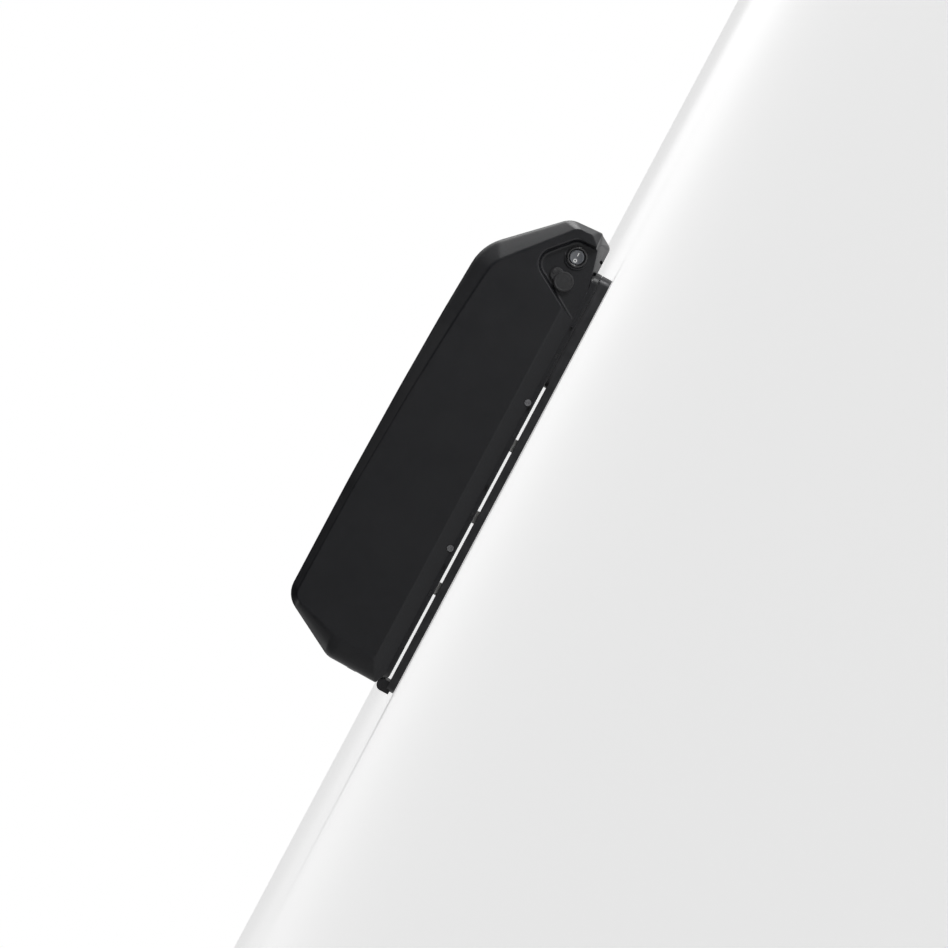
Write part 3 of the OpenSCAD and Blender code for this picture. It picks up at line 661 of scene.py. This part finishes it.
def build_case():
    case = case_solid("battery_case")
    combine(case, lip_block(), "UNION")
    pad = case_solid("pad", -END_PAD)
    band = plan_block("band", E - 5, E + 5, 25, CASE_LOW.z + 23.7, CASE_LOW.z + 30.7, 2)
    combine(pad, band, "INTERSECT")
    combine(case, pad, "UNION")
    cavity = case_solid("cavity", WALL)
    cut(cavity, recess_tool(WALL, FLOOR_Y + WALL, "backing"))
    cut(case, cavity)
    cut(case, plan_block("inside", FOOT_START + WALL + FOOT_ROUND, FOOT_END - WALL, LIP - WALL,
                         BASE_Z - 2, BASE_Z + 9, 6.4))
    cut(case, recess_tool())
    through = FLOOR_Y + WALL + 2
    cut(case, hole_tool(PORT, PORT_HOLE_R, FLOOR_Y - 2, through))
    cut(case, hole_tool(SWITCH, SWITCH_HOLE_R, FLOOR_Y - 2, through))
    for x in SCREW_X:
        for side in (-1, 1):
            y0, y1 = sorted((side * (LIP - 0.8), side * HALF))
            cut(case, hole_tool(Vector((x, 0, SCREW_Z)), SCREW_HOLE_R, y0, y1))
    for i in range(4):
        for side in (-1, 1):
            y0, y1 = sorted((side * (LIP - 4), side * (LIP + 4)))
            cut(case, slot_tool(TAB_START + i * TAB_PITCH, BASE_Z + 2.2, *TAB_SIZE, y0, y1))
            cut(case, slot_tool(DRAIN_START + i * DRAIN_PITCH, BASE_Z + 2.4, *DRAIN_SIZE, y0, y1))
    for side in (-1, 1):
        y0, y1 = sorted((side * 14, side * HALF))
        cut(case, hole_tool(NOSE_HOLE, NOSE_HOLE_R, y0, y1))
    lock_at = Vector((LOCK.x, 0, LOCK.z))
    lock_r = (BARREL_HIGH.x - BARREL_LOW.x) / 2 + 0.5
    button_at = (BUTTON_LOW + BUTTON_HIGH) / 2
    button_r = (BUTTON_HIGH.x - BUTTON_LOW.x) / 2 + 0.3
    lens_at = (LENS_LOW + LENS_HIGH) / 2
    shallow, proud = HALF - 6, HALF + 1
    cut(case, hole_tool(lock_at, lock_r, shallow, proud))
    cut(case, hole_tool(button_at, button_r, shallow, proud))
    cut(case, slot_tool(lens_at.x, lens_at.z, *LENS_OPENING, shallow, proud, LENS_CORNER))
    finish_piece(case, "pack", "case_plastic", smooth_deg=24)
    weigh = case.modifiers.new("normals", "WEIGHTED_NORMAL")
    weigh.keep_sharp = True
    weigh.weight = 80
    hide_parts("upper_case")


build_case()


# ---- charge port cap ----


def build_cap():
    """Rubber cap and the lobe that holds it, with a rivet head, as one soft moulding. It is remeshed evenly."""
    hinge = Vector(joints["cap_hinge"]["pos_m"]) / MM
    along = (Vector((hinge.x, 0, hinge.z)) - PORT).normalized()
    cap_low, cap_high = box_mm("charge_cap")
    front = cap_low.y
    radius = min((cap_high.x - cap_low.x) / 2, 7.5)
    lobe_r, lobe_d = 5.3, 7.15
    under = FLOOR_Y - 0.3
    cap = turned_y("port_cap", PORT, [
        (6.6, under), (7.3, under), (radius, under - 0.3), (radius, front + 0.9),
        (radius - 0.25, front + 0.35), (radius - 0.8, front + 0.06), (radius - 1.1, front),
        (radius - 1.5, front + 0.12), (radius - 2.0, front + 0.2),
        (2.5, front + 0.16), (0.8, front + 0.15)])
    lobe_at = PORT + along * lobe_d
    thick = under - 2.1
    lobe = turned_y("lobe", lobe_at, [
        (lobe_r, FLOOR_Y - 0.02), (lobe_r, thick + 0.7), (lobe_r - 0.25, thick + 0.25),
        (lobe_r - 0.8, thick), (lobe_r - 1.2, thick)], 60)
    combine(cap, lobe, "UNION")
    rivet_at = PORT + along * 10.4
    rivet = turned_y("rivet", rivet_at, [
        (1.7, FLOOR_Y + 3), (1.7, thick - 0.15), (1.4, thick - 0.4), (0.6, thick - 0.5)], 40)
    combine(cap, rivet, "UNION")
    finish_piece(cap, None, "cap_rubber")
    even = cap.modifiers.new("even", "REMESH")
    even.mode = "VOXEL"
    even.voxel_size = 0.16 * MM
    even.use_smooth_shade = True
    graph = bpy.context.evaluated_depsgraph_get()
    made = bpy.data.meshes.new_from_object(cap.evaluated_get(graph))
    cap.modifiers.clear()
    cap.data = made
    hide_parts("charge_cap", "cap_anchor")
    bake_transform(cap)


build_cap()


# ---- rocker switch ----


def build_switch():
    """Bezel with a rounded rim, and the raised collar on the port's side of it."""
    front = FLOOR_Y - 1.8
    opening = 5.8
    bezel = turned_y("switch_bezel", SWITCH, [
        (6.85, FLOOR_Y + 15), (6.85, FLOOR_Y), (7.8, FLOOR_Y), (7.8, front + 0.9),
        (7.62, front + 0.35), (7.2, front + 0.05), (6.7, front), (6.25, front + 0.12),
        (5.98, front + 0.4), (opening, front + 0.9), (opening, FLOOR_Y + 7)])
    finish_piece(bezel, "pack", "switch_plastic", smooth_deg=35)
    rings = []
    start, end = math.radians(95), math.radians(250)
    steps = 36
    for k in range(steps + 1):
        share = k / steps
        angle = start + (end - start) * share
        swell = math.sin(math.pi * share) ** 0.6 + 0.02
        r, w, h = 8.9, 0.85 * swell, 1.4 * swell
        section = [(-w, 0.05), (-w * 0.9, h * 0.6), (-w * 0.45, h * 0.95),
                   (w * 0.45, h * 0.95), (w * 0.9, h * 0.6), (w, 0.05)]
        ring = []
        for a, b in section:
            reach = r + a
            ring.append((SWITCH.x + reach * math.cos(angle), FLOOR_Y - b, SWITCH.z + reach * math.sin(angle)))
        rings.append(ring)
    collar = loft("switch_collar", rings)
    finish_piece(collar, "pack", "case_plastic", smooth_deg=50)
    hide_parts("switch_housing")


def build_rocker():
    """The rocker's dished face, turned to the side that is pressed, with its two marks."""
    radius, face = 5.62, 2.6
    tilt = math.radians(-9)
    turn = Matrix.Rotation(tilt, 3, "Z")
    levels = []
    for k in range(7):
        angle = math.radians(-27 + 9 * k)
        levels.append((radius * math.cos(angle), -radius * math.sin(angle)))
    rim = math.sqrt(radius ** 2 - face ** 2)
    levels += [(rim - 0.12, -face - 0.02 + 0.03), (rim - 0.5, -face + 0.02)]
    levels += [(rim * s, -face + 0.55 * (1 - s ** 2)) for s in (0.8, 0.6, 0.4, 0.2, 0.06)]
    rings = []
    for r, y in levels:
        rings.append([SWITCH + turn @ Vector((p.x, y, p.y)) for p in circle_loop(r, 64)])
    rocker = loft("switch_rocker", rings)
    finish_piece(rocker, "rocker", "rocker_plastic", smooth_deg=35)
    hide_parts("rocker")

    def face_y(x, z):
        share = min(1, math.hypot(x, z) / rim)
        return -face + 0.55 * (1 - share ** 2) - 0.06

    def on_face(x, z, lift=0.0):
        return SWITCH + turn @ Vector((x, face_y(x, z) - lift, z))

    ring_out, ring_in, ring_x = 1.35, 0.75, -2.6
    count = 32
    rings = []
    for r, lift in ((ring_out, -0.12), (ring_out, 0.02), (ring_in, 0.02), (ring_in, -0.12)):
        rings.append([on_face(ring_x + p.x, p.y, lift) for p in circle_loop(r, count)])
    points = [p for ring in rings for p in ring]
    faces = []
    for k in range(4):
        for i in range(count):
            j = (i + 1) % count
            m = (k + 1) % 4
            faces.append((k * count + i, k * count + j, m * count + j, m * count + i))
    off_mark = mesh_object("mark_off", points, faces)
    bar_half, bar_x, bar_thick = 1.35, 2.4, 0.35
    bar = ((-bar_half, -bar_thick), (-bar_half, bar_thick), (0, bar_thick),
           (bar_half, bar_thick), (bar_half, -bar_thick), (0, -bar_thick))
    rings = [[on_face(bar_x + a, b, lift) for a, b in bar] for lift in (-0.12, 0.02)]
    on_mark = loft("mark_on", rings)
    for mark in (off_mark, on_mark):
        finish_piece(mark, "rocker", "rocker_plastic", MARK)


build_switch()
build_rocker()

EDGE_WIDTHS_MM = {
    "mount_plate": 0.6, "mount_hooks": 0.5, "terminal_block": 0.5, "base_cover": 0.4,
    "case_screws": 0.25, "lock_cylinder": 0.4, "lock_bolt": 0.4, "gauge_lens": 0.4,
    "gauge_button": 0.6, "discharge_receptacle": 0.4, "fuse_holder": 0.4, "striker_bush": 0.3,
}
for name, width in EDGE_WIDTHS_MM.items():
    soften(name, width)
